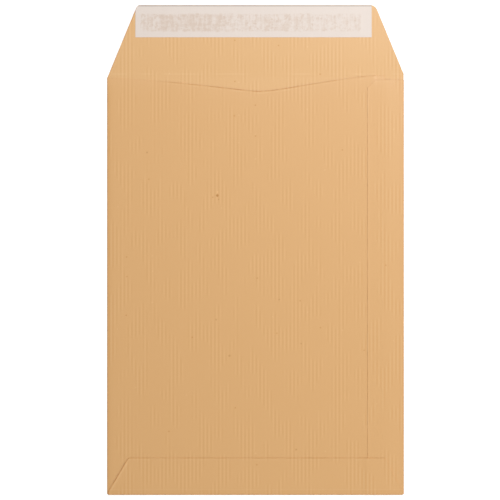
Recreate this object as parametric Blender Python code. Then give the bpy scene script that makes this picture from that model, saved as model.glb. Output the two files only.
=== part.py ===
"""A C4 pocket envelope of ribbed kraft paper, empty, with its seal flap open.

It lies on its front panel, seam side up. X runs across it, Y from the bottom fold to the
seal flap, and Z is up. The origin is under the middle of the open envelope, on the
surface that it lies on. All lengths are in metres.
"""
import math

import bmesh
import bpy
from mathutils import Vector

# The sheet
PAPER = 0.00015
BODY_WIDTH = 0.229
BODY_HEIGHT = 0.324

# Spaces between the plies
POCKET_GAP = 0.0004
GLUE_FILM = 0.0001
TOUCH_GAP = 0.0003

# Seal flap
FLAP_HEIGHT = 0.054
FLAP_SLOPE = math.radians(22.3)
LEFT_CORNER_RADIUS = 0.0035
RIGHT_CORNER_RADIUS = 0.006
LEFT_SHOULDER_DROP = 0.0022
RIGHT_SHOULDER_RISE = 0.0011
SCORE_WIDTH = 0.0008
SCORE_RISE = 0.00008

# Wide back panel and its throat, as drops below the score line
THROAT_LOW_X = 0.0022
THROAT_LOW_DROP = 0.0126
THROAT_LEFT_HANDLE = 0.0357
THROAT_LEFT_SLOPE = 0.010
THROAT_RIGHT_DROP = 0.0003
THROAT_RIGHT_HANDLE = 0.028
THROAT_LOW_LEFT_HANDLE = 0.008
THROAT_LOW_RIGHT_HANDLE = 0.0175
SEAM_OVERLAP = 0.013

# Narrow side-seam flap
SEAM_FLAP_WIDTH = 0.028
SEAM_FLAP_DROP = 0.0037
SEAM_FLAP_CHAMFER = 0.006

# Bottom flap
BOTTOM_FLAP_HEIGHT = 0.0286
BOTTOM_FLAP_SIDE = 0.0026
BOTTOM_FLAP_LEFT_INSET = 0.0164
BOTTOM_FLAP_RIGHT_INSET = 0.0147
BOTTOM_FOOT_INSET = 0.0009
STEP_WIDTH = 0.006
STEP_CLEARANCE = 0.001
CORNER_RELIEF = 0.0015

# Glue lines, drawn in from the edges of the plies that they join
SEAM_GLUE_SIDE_MARGIN = 0.0025
SEAM_GLUE_END_MARGIN = 0.002
BOTTOM_GLUE_WIDTH = 0.012
BOTTOM_GLUE_EDGE_MARGIN = 0.004
BOTTOM_GLUE_END_MARGIN = 0.006

# Release strip, placed from the top corners of the seal flap
STRIP_WIDTH = 0.0247
STRIP_THICKNESS = 0.00007
STRIP_LEFT_OVERRUN = 0.0016
STRIP_RIGHT_MARGIN = 0.0024
STRIP_TOP_MARGIN = 0.0002
STRIP_TRIM_INSET = 0.0001

# Seal adhesive, drawn in from the edges of the strip
ADHESIVE_FILM = 0.0001
ADHESIVE_LEFT_MARGIN = 0.0040
ADHESIVE_RIGHT_MARGIN = 0.0085
ADHESIVE_TOP_MARGIN = 0.0068
ADHESIVE_LOW_MARGIN = 0.0047

# How finely the curves are drawn
FOLD_STEPS = 8
THROAT_STEPS = 8
CORNER_STEPS = 5
STEP_STEPS = 4
WELD = 0.000001
SHARP_ANGLE = math.radians(30)

# Edges that follow from the sizes
LEFT = -BODY_WIDTH / 2
RIGHT = BODY_WIDTH / 2
BOTTOM = -(BODY_HEIGHT + FLAP_HEIGHT) / 2
SCORE = BOTTOM + BODY_HEIGHT
TOP = SCORE + FLAP_HEIGHT
LEFT_SHOULDER = SCORE - LEFT_SHOULDER_DROP
RIGHT_SHOULDER = SCORE + RIGHT_SHOULDER_RISE
SEAM_EDGE = RIGHT - SEAM_FLAP_WIDTH
SEAM_TOP = SCORE - SEAM_FLAP_DROP
BACK_EDGE = SEAM_EDGE + SEAM_OVERLAP
BOTTOM_FLAP_EDGE = BOTTOM + BOTTOM_FLAP_HEIGHT
SIDE_END = BOTTOM + CORNER_RELIEF

# Mid-height of each ply, from the front panel up
GLUED_PITCH = PAPER + 2 * TOUCH_GAP + GLUE_FILM
FRONT_Z = PAPER / 2
BACK_Z = FRONT_Z + PAPER + POCKET_GAP
SEAM_Z = BACK_Z + GLUED_PITCH
OVER_BACK_Z = SEAM_Z
OVER_SEAM_Z = SEAM_Z + GLUED_PITCH
FILM_UNDER_PLY = PAPER / 2 + TOUCH_GAP + GLUE_FILM / 2

# Fold lines of the two side folds, where the front panel stops being flat
LEFT_FOLD_RADIUS = (BACK_Z - FRONT_Z) / 2
RIGHT_FOLD_RADIUS = (SEAM_Z - FRONT_Z) / 2
LEFT_FOLD = LEFT + PAPER / 2 + LEFT_FOLD_RADIUS
RIGHT_FOLD = RIGHT - PAPER / 2 - RIGHT_FOLD_RADIUS

# Linear colours, and how rough each surface is
KRAFT = (0.737, 0.440, 0.202)
KRAFT_ROUGHNESS = 0.8
DRY_GLUE = (0.70, 0.62, 0.47)
DRY_GLUE_ROUGHNESS = 0.5
ADHESIVE = (0.72, 0.62, 0.54)
ADHESIVE_ROUGHNESS = 0.35
SILICONE_PAPER = (0.83, 0.74, 0.67)
SILICONE_PAPER_ROUGHNESS = 0.45


def clear_scene():
    for thing in list(bpy.data.objects):
        bpy.data.objects.remove(thing, do_unlink=True)


def material(name, colour, roughness):
    made = bpy.data.materials.new(name)
    made.use_nodes = True
    shader = made.node_tree.nodes["Principled BSDF"]
    shader.inputs["Base Color"].default_value = (*colour, 1)
    shader.inputs["Roughness"].default_value = roughness
    shader.inputs["Metallic"].default_value = 0
    return made


def object_from(name, bm, look=None):
    mesh = bpy.data.meshes.new(name)
    bm.to_mesh(mesh)
    bm.free()
    made = bpy.data.objects.new(name, mesh)
    bpy.context.collection.objects.link(made)
    if look:
        mesh.materials.append(look)
    return made


def add_face(bm, points):
    bm.faces.new([bm.verts.new(point) for point in points])


def add_strips(bm, rows):
    """Quads between neighbouring rows of points; every row has as many points as the first."""
    for low, high in zip(rows, rows[1:]):
        for i in range(len(low) - 1):
            add_face(bm, (low[i], low[i + 1], high[i + 1], high[i]))


def join_faces(bm):
    bmesh.ops.remove_doubles(bm, verts=bm.verts, dist=WELD)
    bmesh.ops.recalc_face_normals(bm, faces=bm.faces)


def thicken(thing, thickness):
    """Give a mid-surface its thickness, half on each side."""
    solid = thing.modifiers.new("thickness", "SOLIDIFY")
    solid.thickness = thickness
    solid.offset = 0
    solid.use_even_offset = True
    solid.use_quality_normals = True


def at_height(outline, z):
    return [(x, y, z) for x, y in outline]


def plate(name, outline, low, thickness, look=None):
    """A flat outline extruded upwards from the height low."""
    bm = bmesh.new()
    add_face(bm, at_height(outline, low))
    walls = bmesh.ops.extrude_face_region(bm, geom=list(bm.faces))
    raised = [item for item in walls["geom"] if isinstance(item, bmesh.types.BMVert)]
    bmesh.ops.translate(bm, verts=raised, vec=(0, 0, thickness))
    bmesh.ops.recalc_face_normals(bm, faces=bm.faces)
    return object_from(name, bm, look)


def rectangle(left, right, bottom, top):
    return [(left, bottom), (right, bottom), (right, top), (left, top)]


def rounded_corner(before, corner, after, radius):
    """Points of an arc of the given radius that touches both sides of a corner."""
    corner = Vector(corner)
    to_before = (Vector(before) - corner).normalized()
    to_after = (Vector(after) - corner).normalized()
    half_angle = to_before.angle(to_after) / 2
    touch = radius / math.tan(half_angle)
    centre = corner + (to_before + to_after).normalized() * radius / math.sin(half_angle)
    first = corner + to_before * touch - centre
    last = corner + to_after * touch - centre
    start = math.atan2(first.y, first.x)
    sweep = math.remainder(math.atan2(last.y, last.x) - start, math.tau)
    points = []
    for i in range(CORNER_STEPS + 1):
        angle = start + sweep * i / CORNER_STEPS
        points.append((centre.x + radius * math.cos(angle), centre.y + radius * math.sin(angle)))
    return points


def bezier(start, first_handle, last_handle, end, steps):
    """Points of a cubic curve, both ends included."""
    points = []
    for i in range(steps + 1):
        t = i / steps
        weights = ((1 - t) ** 3, 3 * t * (1 - t) ** 2, 3 * t * t * (1 - t), t ** 3)
        ends = (start, first_handle, last_handle, end)
        x = sum(w * p[0] for w, p in zip(weights, ends))
        y = sum(w * p[1] for w, p in zip(weights, ends))
        points.append((x, y))
    return points


def flap_left_edge(y):
    return LEFT_FOLD + math.tan(FLAP_SLOPE) * (y - LEFT_SHOULDER)


def flap_right_edge(y):
    return RIGHT_FOLD - math.tan(FLAP_SLOPE) * (y - RIGHT_SHOULDER)


def flap_outline(score_side, inset=0):
    """The seal flap from the score to its top edge, drawn in from its edges by inset."""
    side_inset = inset / math.cos(FLAP_SLOPE)
    top = TOP - inset
    low_right = (RIGHT_FOLD - inset, score_side)
    right_shoulder = (RIGHT_FOLD - side_inset, RIGHT_SHOULDER)
    top_right = (flap_right_edge(top) - side_inset, top)
    top_left = (flap_left_edge(top) + side_inset, top)
    low_left = (flap_left_edge(score_side) + side_inset, score_side)
    return [
        low_left,
        low_right,
        right_shoulder,
        *rounded_corner(right_shoulder, top_right, top_left, RIGHT_CORNER_RADIUS - inset),
        *rounded_corner(top_right, top_left, low_left, LEFT_CORNER_RADIUS - inset),
    ]


def throat_curve():
    """The open edge of the wide back panel, from its right edge to the left fold."""
    low = (THROAT_LOW_X, SCORE - THROAT_LOW_DROP)
    right_end = (BACK_EDGE, SCORE - THROAT_RIGHT_DROP)
    left_end = (LEFT_FOLD, LEFT_SHOULDER)
    left_fall = THROAT_LEFT_HANDLE * THROAT_LEFT_SLOPE
    right_arm = bezier(
        right_end,
        (right_end[0] - THROAT_RIGHT_HANDLE, right_end[1]),
        (low[0] + THROAT_LOW_RIGHT_HANDLE, low[1]),
        low,
        THROAT_STEPS,
    )
    left_arm = bezier(
        low,
        (low[0] - THROAT_LOW_LEFT_HANDLE, low[1]),
        (left_end[0] + THROAT_LEFT_HANDLE, left_end[1] - left_fall),
        left_end,
        THROAT_STEPS,
    )
    return right_arm + left_arm[1:]


def bottom_columns():
    """(x, height of the bottom flap) from left to right, with its step up over the seam."""
    step_end = SEAM_EDGE - STEP_CLEARANCE
    columns = [(LEFT + BOTTOM_FOOT_INSET, OVER_BACK_Z)]
    for i in range(STEP_STEPS + 1):
        part = i / STEP_STEPS
        ease = (1 - math.cos(math.pi * part)) / 2
        x = step_end - STEP_WIDTH * (1 - part)
        columns.append((x, OVER_BACK_Z + (OVER_SEAM_Z - OVER_BACK_Z) * ease))
    columns.append((RIGHT - BOTTOM_FOOT_INSET, OVER_SEAM_Z))
    return columns


def bottom_fold_line(height):
    """Where a bottom fold that rises to this height leaves the flat panels."""
    return BOTTOM + PAPER / 2 + (height - FRONT_Z) / 2


def add_front_panel(bm):
    fold = [(x, bottom_fold_line(height)) for x, height in bottom_columns()]
    score_side = SCORE - SCORE_WIDTH / 2
    outline = fold + [
        (RIGHT_FOLD, SIDE_END),
        (RIGHT_FOLD, SEAM_TOP),
        (RIGHT_FOLD, score_side),
        (flap_left_edge(score_side), score_side),
        (LEFT_FOLD, LEFT_SHOULDER),
        (LEFT_FOLD, SIDE_END),
    ]
    add_face(bm, at_height(outline, FRONT_Z))


def add_score(bm):
    """The crease that the seal flap turns on: a low ridge on the seam side."""
    low = SCORE - SCORE_WIDTH / 2
    high = SCORE + SCORE_WIDTH / 2
    rows = []
    for y, z in ((low, FRONT_Z), (SCORE, FRONT_Z + SCORE_RISE), (high, FRONT_Z)):
        rows.append([(flap_left_edge(y), y, z), (RIGHT_FOLD, y, z)])
    add_strips(bm, rows)


def add_seal_flap(bm):
    add_face(bm, at_height(flap_outline(SCORE + SCORE_WIDTH / 2), FRONT_Z))


def add_side_fold(bm, fold_x, outward, radius, low, high):
    """Half a turn of paper from the front panel up to the ply that it carries."""
    rows = []
    for i in range(FOLD_STEPS + 1):
        angle = math.pi * i / FOLD_STEPS
        x = fold_x + outward * radius * math.sin(angle)
        z = FRONT_Z + radius * (1 - math.cos(angle))
        rows.append([(x, low, z), (x, high, z)])
    add_strips(bm, rows)


def add_back_panel(bm):
    outline = [
        (LEFT_FOLD, SIDE_END),
        (BACK_EDGE, SIDE_END),
        *throat_curve(),
    ]
    add_face(bm, at_height(outline, BACK_Z))


def add_seam_flap(bm):
    outline = [
        (SEAM_EDGE, SIDE_END),
        (RIGHT_FOLD, SIDE_END),
        (RIGHT_FOLD, SEAM_TOP),
        (SEAM_EDGE + SEAM_FLAP_CHAMFER, SEAM_TOP),
        (SEAM_EDGE, SEAM_TOP - SEAM_FLAP_CHAMFER),
    ]
    add_face(bm, at_height(outline, SEAM_Z))


def add_bottom_fold(bm):
    rows = []
    for i in range(FOLD_STEPS + 1):
        angle = math.pi * i / FOLD_STEPS
        row = []
        for x, height in bottom_columns():
            radius = (height - FRONT_Z) / 2
            y = bottom_fold_line(height) - radius * math.sin(angle)
            row.append((x, y, FRONT_Z + radius * (1 - math.cos(angle))))
        rows.append(row)
    add_strips(bm, rows)


def add_bottom_flap(bm):
    """From its fold up two short straight sides, then in along its two cut corners."""
    columns = bottom_columns()
    corners = [LEFT + BOTTOM_FLAP_LEFT_INSET, RIGHT - BOTTOM_FLAP_RIGHT_INSET]
    tops = [corners[0]] + [x for x, _ in columns[1:-1]] + [corners[1]]
    fold = [(x, bottom_fold_line(height), height) for x, height in columns]
    side = [(x, BOTTOM + BOTTOM_FLAP_SIDE, height) for x, height in columns]
    edge = [(x, BOTTOM_FLAP_EDGE, height) for x, (_, height) in zip(tops, columns)]
    add_strips(bm, [fold, side, edge])


def make_kraft_sheet():
    bm = bmesh.new()
    add_front_panel(bm)
    add_score(bm)
    add_seal_flap(bm)
    add_side_fold(bm, LEFT_FOLD, -1, LEFT_FOLD_RADIUS, SIDE_END, LEFT_SHOULDER)
    add_back_panel(bm)
    add_side_fold(bm, RIGHT_FOLD, 1, RIGHT_FOLD_RADIUS, SIDE_END, SEAM_TOP)
    add_seam_flap(bm)
    add_bottom_fold(bm)
    add_bottom_flap(bm)
    join_faces(bm)
    thing = object_from("kraft_sheet", bm, material("kraft", KRAFT, KRAFT_ROUGHNESS))
    thicken(thing, PAPER)
    thing.data.shade_smooth()
    thing.data.set_sharp_from_angle(angle=SHARP_ANGLE)


def make_side_seam_glue(look):
    outline = rectangle(
        SEAM_EDGE + SEAM_GLUE_SIDE_MARGIN,
        BACK_EDGE - SEAM_GLUE_SIDE_MARGIN,
        SIDE_END + SEAM_GLUE_END_MARGIN,
        SEAM_TOP - SEAM_FLAP_CHAMFER - SEAM_GLUE_END_MARGIN,
    )
    low = BACK_Z + PAPER / 2 + TOUCH_GAP
    plate("side_seam_glue", outline, low, GLUE_FILM, look)


def make_bottom_flap_glue(look):
    """A film that follows the step of the bottom flap that it holds."""
    high = BOTTOM_FLAP_EDGE - BOTTOM_GLUE_EDGE_MARGIN
    columns = bottom_columns()
    columns[0] = (LEFT + BOTTOM_FLAP_LEFT_INSET + BOTTOM_GLUE_END_MARGIN, columns[0][1])
    columns[-1] = (RIGHT - BOTTOM_FLAP_RIGHT_INSET - BOTTOM_GLUE_END_MARGIN, columns[-1][1])
    rows = []
    for y in (high - BOTTOM_GLUE_WIDTH, high):
        rows.append([(x, y, height - FILM_UNDER_PLY) for x, height in columns])
    bm = bmesh.new()
    add_strips(bm, rows)
    join_faces(bm)
    thing = object_from("bottom_flap_glue", bm, look)
    thicken(thing, GLUE_FILM)


def strip_sides():
    """Left, right, bottom and top of the release strip before it is trimmed."""
    top = TOP - STRIP_TOP_MARGIN
    left = flap_left_edge(TOP) - STRIP_LEFT_OVERRUN
    right = flap_right_edge(TOP) - STRIP_RIGHT_MARGIN
    return left, right, top - STRIP_WIDTH, top


def make_seal_adhesive():
    left, right, low, top = strip_sides()
    outline = rectangle(
        left + ADHESIVE_LEFT_MARGIN,
        right - ADHESIVE_RIGHT_MARGIN,
        low + ADHESIVE_LOW_MARGIN,
        top - ADHESIVE_TOP_MARGIN,
    )
    look = material("seal_adhesive", ADHESIVE, ADHESIVE_ROUGHNESS)
    plate("seal_adhesive", outline, PAPER + TOUCH_GAP, ADHESIVE_FILM, look)


def make_release_strip():
    """A straight strip, trimmed where it would pass the rounded edge of the flap."""
    under = PAPER + 2 * TOUCH_GAP + ADHESIVE_FILM
    look = material("release_strip", SILICONE_PAPER, SILICONE_PAPER_ROUGHNESS)
    strip = plate("release_strip", rectangle(*strip_sides()), under, STRIP_THICKNESS, look)
    edge = flap_outline(SCORE + SCORE_WIDTH / 2, STRIP_TRIM_INSET)
    guide = plate("strip_trim_guide", edge, under - STRIP_THICKNESS, 3 * STRIP_THICKNESS)
    guide.hide_render = True
    guide.display_type = "WIRE"
    trim = strip.modifiers.new("trim", "BOOLEAN")
    trim.operation = "INTERSECT"
    trim.solver = "EXACT"
    trim.object = guide


def main():
    clear_scene()
    make_kraft_sheet()
    glue = material("dry_glue", DRY_GLUE, DRY_GLUE_ROUGHNESS)
    make_side_seam_glue(glue)
    make_bottom_flap_glue(glue)
    make_seal_adhesive()
    make_release_strip()


main()
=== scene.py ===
"""Looks of the kraft pocket envelope: ribbed paper, pressed creases, see-through strip."""
import math

import bmesh
import bpy
import numpy as np
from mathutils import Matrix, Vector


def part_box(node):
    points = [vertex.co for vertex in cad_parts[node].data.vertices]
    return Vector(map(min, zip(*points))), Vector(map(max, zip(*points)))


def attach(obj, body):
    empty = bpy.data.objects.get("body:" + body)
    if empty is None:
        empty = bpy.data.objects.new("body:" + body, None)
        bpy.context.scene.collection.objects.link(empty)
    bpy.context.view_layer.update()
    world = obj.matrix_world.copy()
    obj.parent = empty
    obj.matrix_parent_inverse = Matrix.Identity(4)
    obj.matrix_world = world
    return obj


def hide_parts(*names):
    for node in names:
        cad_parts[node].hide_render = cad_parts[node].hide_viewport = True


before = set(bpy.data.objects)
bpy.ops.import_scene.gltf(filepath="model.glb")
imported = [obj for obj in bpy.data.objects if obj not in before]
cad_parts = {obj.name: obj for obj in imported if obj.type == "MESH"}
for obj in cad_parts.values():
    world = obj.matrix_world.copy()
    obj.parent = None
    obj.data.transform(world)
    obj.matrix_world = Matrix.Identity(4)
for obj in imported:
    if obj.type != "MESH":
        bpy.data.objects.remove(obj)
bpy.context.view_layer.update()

MM = 0.001

# Outline of the paper, read from the frame
sheet_low, sheet_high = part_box("kraft_sheet")
LEFT, RIGHT = sheet_low.x, sheet_high.x
BOTTOM, TOP = sheet_low.y, sheet_high.y
strip_low, strip_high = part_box("release_strip")
band_low, band_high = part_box("seal_adhesive")
seam_glue_low, seam_glue_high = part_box("side_seam_glue")
bottom_glue_low, bottom_glue_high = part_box("bottom_flap_glue")

# Sizes of the folded sheet
PAPER = 0.15 * MM
FLAP_HEIGHT = 54 * MM
FLAP_SLOPE = math.radians(22.5)
LEFT_CORNER_RADIUS = 3.5 * MM
RIGHT_CORNER_RADIUS = 6 * MM
LEFT_SHOULDER_DROP = 2.2 * MM
LEFT_SHOULDER_INSET = 0.10 * MM
RIGHT_SHOULDER_RISE = 1.1 * MM
RIGHT_SHOULDER_INSET = 0.30 * MM
THROAT_LOW_X = 2.2 * MM
THROAT_LOW_DROP = 12.6 * MM
THROAT_LEFT_HANDLE = 35.7 * MM
THROAT_LEFT_SLOPE = 0.010
THROAT_RIGHT_DROP = 0.3 * MM
THROAT_RIGHT_HANDLE = 28 * MM
THROAT_LOW_LEFT_HANDLE = 8 * MM
THROAT_LOW_RIGHT_HANDLE = 17.5 * MM
SEAM_FLAP_WIDTH = 28 * MM
SEAM_OVERLAP = 13 * MM
SEAM_FLAP_DROP = 3.7 * MM
SEAM_FLAP_CHAMFER = 6 * MM
BOTTOM_FLAP_HEIGHT = 28.6 * MM
BOTTOM_FLAP_SIDE = 2.6 * MM
BOTTOM_FLAP_LEFT_INSET = 16.4 * MM
BOTTOM_FLAP_RIGHT_INSET = 14.7 * MM

# How the paper lies: distances between the middles of two plies
CREASE_PITCH = 0.30 * MM
GLUED_PITCH = 0.22 * MM
BODY_PITCH = 0.55 * MM
CROWN = 0.20 * MM
LEFT_RISE = 1.8 * MM
RIGHT_RISE = 5.0 * MM
LOW_RISE = 3.0 * MM
BACK_EDGE_FADE = 12 * MM
EMBOSS_WIDTH = 4.5 * MM
WAVE_HEIGHT = 0.06 * MM
LOW_FILL = 0.35
WAVES = ((31, 11, 0.7, 1.0), (17, -29, 2.1, 0.7), (53, 41, 4.0, 0.5))
WAVE_SHARE = 0.22
FLAP_SPRING = 0.5 * MM
FLAP_SPRING_REACH = 12 * MM
SCORE_HALF_WIDTH = 0.7 * MM
SCORE_RISE = 0.03 * MM
CORNER_RELIEF = 0.7 * MM
FOOT_INSET = 0.9 * MM

# Free edges stand up a little over this distance
CUT_EDGE = 0.35 * MM
THROAT_LIP = 0.06 * MM
THROAT_LIP_REACH = 1.2 * MM
THROAT_REST = 0.7
THROAT_REST_REACH = 7 * MM
THROAT_PRESS_REACH = 4 * MM
PRESSED_PITCH = 0.18 * MM
SEAM_LIP = 0.11 * MM
SEAM_LIP_REACH = 1.0 * MM
SEAM_LIP_FADE = 8 * MM
FLAP_LIP = 0.06 * MM
FLAP_LIP_REACH = 1.2 * MM
CORNER_LIP = 0.24 * MM
CORNER_LIP_REACH = 3.5 * MM
CORNER_LIP_FADE = 3 * MM
CORNER_LIP_LOW = 1 * MM
CORNER_LIP_CLEAR = 5 * MM

# Where the throat's edge stops showing, and how strongly the painted shade along edges and folds
# shows
THROAT_FADE_LEFT = -60 * MM
THROAT_FADE_RIGHT = 91 * MM
THROAT_FADE = 22 * MM
THROAT_FADE_OUT = 3 * MM
THROAT_LOW_SHADE = 2.4
THROAT_ARM_SHADE = 1.5
THROAT_ARM_START = 12 * MM
THROAT_ARM_FULL = 45 * MM
SEAM_CHAMFER_SHADE = 0.6
BOTTOM_EDGE_SHADE = 1.1
LEFT_CORNER_SHADE = 2.2
FLAP_LEFT_SHADE = 3.0
FLAP_RIGHT_SHADE = 0.8
LEFT_FOLD_SHADE = 1.8
RIGHT_FOLD_SHADE = 1.2
BOTTOM_FOLD_SHADE = 1.5
CREASE_REACH = 0.8 * MM
EDGE_SHADE_FADE = 1 * MM
SEAM_END_FADE = 3 * MM

# Ribs of the paper
RIB_PITCH = 2.91 * MM
RIB_HEIGHT = 0.007 * MM

# Flecks of bark in the back panel: place across and up, radius, and change of tone. They come
# in between two heights, so that the front panel below has none.
BARK_FLECKS = (
    (-29.1 * MM, 42.4 * MM, 1.45 * MM, -0.52),
    (-28.2 * MM, 39.3 * MM, 0.80 * MM, -0.24),
    (-29.0 * MM, 45.0 * MM, 0.90 * MM, 0.16),
    (-19.8 * MM, -81.3 * MM, 1.20 * MM, -0.25),
    (18.5 * MM, -38.0 * MM, 1.00 * MM, -0.20),
    (35.5 * MM, -72.0 * MM, 1.00 * MM, -0.18),
    (-83.4 * MM, 75.5 * MM, 1.05 * MM, -0.24),
    (-30.1 * MM, -53.4 * MM, 1.00 * MM, -0.22),
    (31.6 * MM, -153.7 * MM, 1.00 * MM, -0.25),
)
FLECK_LOW = 0.3 * MM
FLECK_CLEAR = 0.5 * MM

# What each point of a sheet can say about its place on the paper: the strength of painted shade at a
# fold (crease) and at a cut edge (cut), its distance from a cut edge (rim), and which side it is on
# (inner)
MARKS = ("crease", "cut", "rim", "inner")
FAR = 1.0

# Mesh spacing; the rows and columns beside a fold are in millimetres from it
COLUMN = RIB_PITCH / 4
BODY_ROW = 9 * MM
BOTTOM_FLAP_ROW = 4 * MM
THROAT_ROW = 2.5 * MM
SEAL_FLAP_ROW = 6 * MM
FINE_ROW = 1.6 * MM
GLUE_ROW = 2.5 * MM
ROWS_FROM_FOLD = (0.4, 0.9, 1.6, 2.6, 4.0, 6.0, 9.0, 13.0)
NEXT_ROW_FROM_FOLD = 19 * MM
COLUMNS_FROM_FOLD = (0.0, 0.25, 0.5)
CREASE_STEPS = 6
MERGE = 0.015 * MM
SHARP_ANGLE = math.radians(40)

# Strip, adhesive and glue as they lie in the pressed envelope
STRIP_THICKNESS = 0.07 * MM
ADHESIVE_FILM = 0.06 * MM
GLUE_FILM = 0.03 * MM
FILM_GAP = 0.01 * MM
STRIP_DROOP = 0.6 * ADHESIVE_FILM
STRIP_DROOP_REACH = 2.5 * MM
STRIP_TRIM = 0.2 * MM

# Edges that follow from the sizes
SCORE = TOP - FLAP_HEIGHT
LEFT_SHOULDER = SCORE - LEFT_SHOULDER_DROP
RIGHT_SHOULDER = SCORE + RIGHT_SHOULDER_RISE
SEAM_EDGE = RIGHT - SEAM_FLAP_WIDTH
SEAM_TOP = SCORE - SEAM_FLAP_DROP
BACK_EDGE = SEAM_EDGE + SEAM_OVERLAP
BOTTOM_FLAP_EDGE = BOTTOM + BOTTOM_FLAP_HEIGHT
SIDE_END = BOTTOM + CORNER_RELIEF
CREASE_RADIUS = CREASE_PITCH / 2
LEFT_FOLD = LEFT + PAPER / 2 + CREASE_RADIUS
RIGHT_FOLD = RIGHT - PAPER / 2 - CREASE_RADIUS

# Camera: the photo's 500 pixels span this much of the envelope's plane
VIEW_WIDTH = 385.9 * MM
VIEW_CENTRE_X = -4.25 * MM
LENS = 200
SENSOR = 36

# Colours are linear
KRAFT = (0.688, 0.387, 0.150)
KRAFT_INNER = (0.716, 0.418, 0.174)
KRAFT_SHADE = (0.50, 1.00, 1.90)
BARK_SHADE = (0.66, 0.97, 1.60)
DARKEST_SHADE = (0.12, 0.12, 0.12)
STRIP = (0.765, 0.672, 0.608)
STRIP_WET = (0.672, 0.545, 0.455)
ADHESIVE = (0.72, 0.62, 0.54)
DRY_GLUE = (0.70, 0.62, 0.47)
FLOOR = (0.80, 0.80, 0.80)

# Floor, fill light and the two round lamps: a high one and a low one
FLOOR_SIZE = 4.0
FLOOR_DEPTH = -0.02 * MM
FLOOR_GLOW = 0.45
FAR_FLOOR_GLOW = 1.0
NEAR_FLOOR = 0.35
FAR_FLOOR = 1.3
FILL_STRENGTH = 0.20
OVERHEAD_PLACE = (0.42, 0.68, 1.15)
OVERHEAD_SIZE = 0.4
OVERHEAD_POWER = 13.3
SIDE_PLACE = (0.85, -1.20, 1.15)
SIDE_SIZE = 0.45
SIDE_POWER = 11.6

# Patterns: features per metre along x, y and z, then the detail and roughness of the noise
CLOUDS = ((45, 30, 45), 4.0, 0.6)
FIBRES = ((1500, 260, 1500), 3.0, 0.6)
GRAIN = ((2600, 2200, 2600), 2.0)
RIB_PATCHES = ((85, 38, 85), 1.0)
FOLD_PATCHES = ((160, 160, 160), 2.0)
EDGE_PATCHES = ((140, 140, 140), 2.0)
SCORE_BREAKS = ((45, 1, 1), 1.0)
KRAFT_SHEEN = ((900, 200, 900), 3.0)
BAND_EDGE = ((260, 260, 260), 2.0)
BLOTCHES = ((240, 330, 240), 3.0, 0.65)
STREAKS = ((640, 90, 640), 1.0)
SOAKED_SPOTS = ((620, 560, 620), 1.0)
DRY_SPOTS = ((700, 420, 700), 1.0)
STRIP_CLOUDS = ((160, 160, 160), 3.0)
STRIP_SHEEN = ((300, 300, 300), 3.0)
GLUE_CLOUDS = ((350, 120, 350), 3.0, 0.6)
GLUE_SHEEN = ((500, 500, 500), 3.0)
GLUE_GRAIN = ((400, 150, 400), 3.0)
RAGGED_SCALE = 2200.0

# Levels of a noise between which it turns from off to on, and what it then gives
RIB_PATCH_LEVELS = (0.46, 0.60)
FOLD_PATCH_LEVELS = (0.3, 0.7, 0.6, 1.0)
EDGE_PATCH_LEVELS = (0.35, 0.6, 0.2, 1.2)
SCORE_BREAK_LEVELS = (0.42, 0.60)
BLOTCH_LEVELS = (0.36, 0.64)
STREAK_LEVELS = (0.34, 0.66)
SOAKED_LEVELS = (0.60, 0.70, 0.0, 0.65)
DRY_LEVELS = (0.60, 0.70, 0.0, -0.35)

# How far patterns and marks change the tone of the kraft, where 1 is its whole tone
CLOUD_TONE = 0.016
FIBRE_TONE = 0.022
GRAIN_TONE = 0.012
LEAST_RIB_TONE = 0.004
RIB_TONE = 0.074
FOLD_SHADE_TONE = -0.16
CUT_SHADE_TONE = -0.24
LIP_HIGHLIGHT_TONE = 0.035
SCORE_HIGHLIGHT_TONE = 0.07
RIDGE_HIGHLIGHT_TONE = 0.045
DENT_SHADE_TONE = -0.035
DARK_SPECK_TONE = -0.25
PALE_SPECK_TONE = 0.10
LEAST_TONE = 0.35

# Specks in the pulp: cells per metre, radius, and the share of cells that hold one. Specks and
# flecks are solid up to a share of their radius, and their outline wanders by another share.
DARK_SPECKS = (60.0, 0.85 * MM, 0.10)
PALE_SPECKS = (75.0, 0.80 * MM, 0.07)
SOLID_SHARE = 0.35
RAGGED_SHARE = 0.5

# Distances from a cut edge to its line of painted shadow and to the painted highlight inside it,
# where the edge's lip turns to the light
CUT_LINE_FULL = 0.05 * MM
CUT_LINE_END = 0.45 * MM
LIP_HIGHLIGHT_START = 1.1 * MM
LIP_HIGHLIGHT_FULL = 1.3 * MM
LIP_HIGHLIGHT_END = 2.2 * MM

# Painted highlight beside the score, and a painted highlight and a painted shade line above the
# bottom fold, as on a small ridge and dent
SCORE_SHEEN_RISE = 0.8 * MM
SCORE_SHEEN_HALF_WIDTH = 0.9 * MM
RIDGE_RISE = 4.1 * MM
DENT_RISE = 3.2 * MM
RIDGE_HALF_WIDTH = 0.7 * MM

# Sheen as roughness, its spread and the specular level; fine relief as depth and strength
KRAFT_ROUGHNESS = 0.44
KRAFT_ROUGHNESS_SPREAD = 0.04
KRAFT_SPECULAR = 0.75
KRAFT_RELIEF = (0.35 * MM, 0.5)
GRAIN_RELIEF = 1.5
STRIP_ROUGHNESS = 0.45
STRIP_ROUGHNESS_SPREAD = 0.05
STRIP_SPECULAR = 0.5
STRIP_RELIEF = (0.03 * MM, 0.6)
GLUE_ROUGHNESS = 0.5
ADHESIVE_ROUGHNESS = 0.3
GLUE_ROUGHNESS_SPREAD = 0.08
GLUE_RELIEF = (0.02 * MM, 0.6)

# How the adhesive wets the strip: less at its left end and towards the right
BAND_SOFT = 0.9 * MM
BAND_RAGGED = 1.2 * MM
LEFT_END = 14 * MM
LEFT_END_PAST = 17 * MM
WET_AT_LEFT_END = 0.34
WET = 0.62
DRIER_FROM = 45 * MM
DRIER_TO = 75 * MM
DRIER = -0.24
THINNER_FROM = 90 * MM
THINNER = 0.75
BLOTCH = 0.30
STREAK = 0.24
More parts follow.
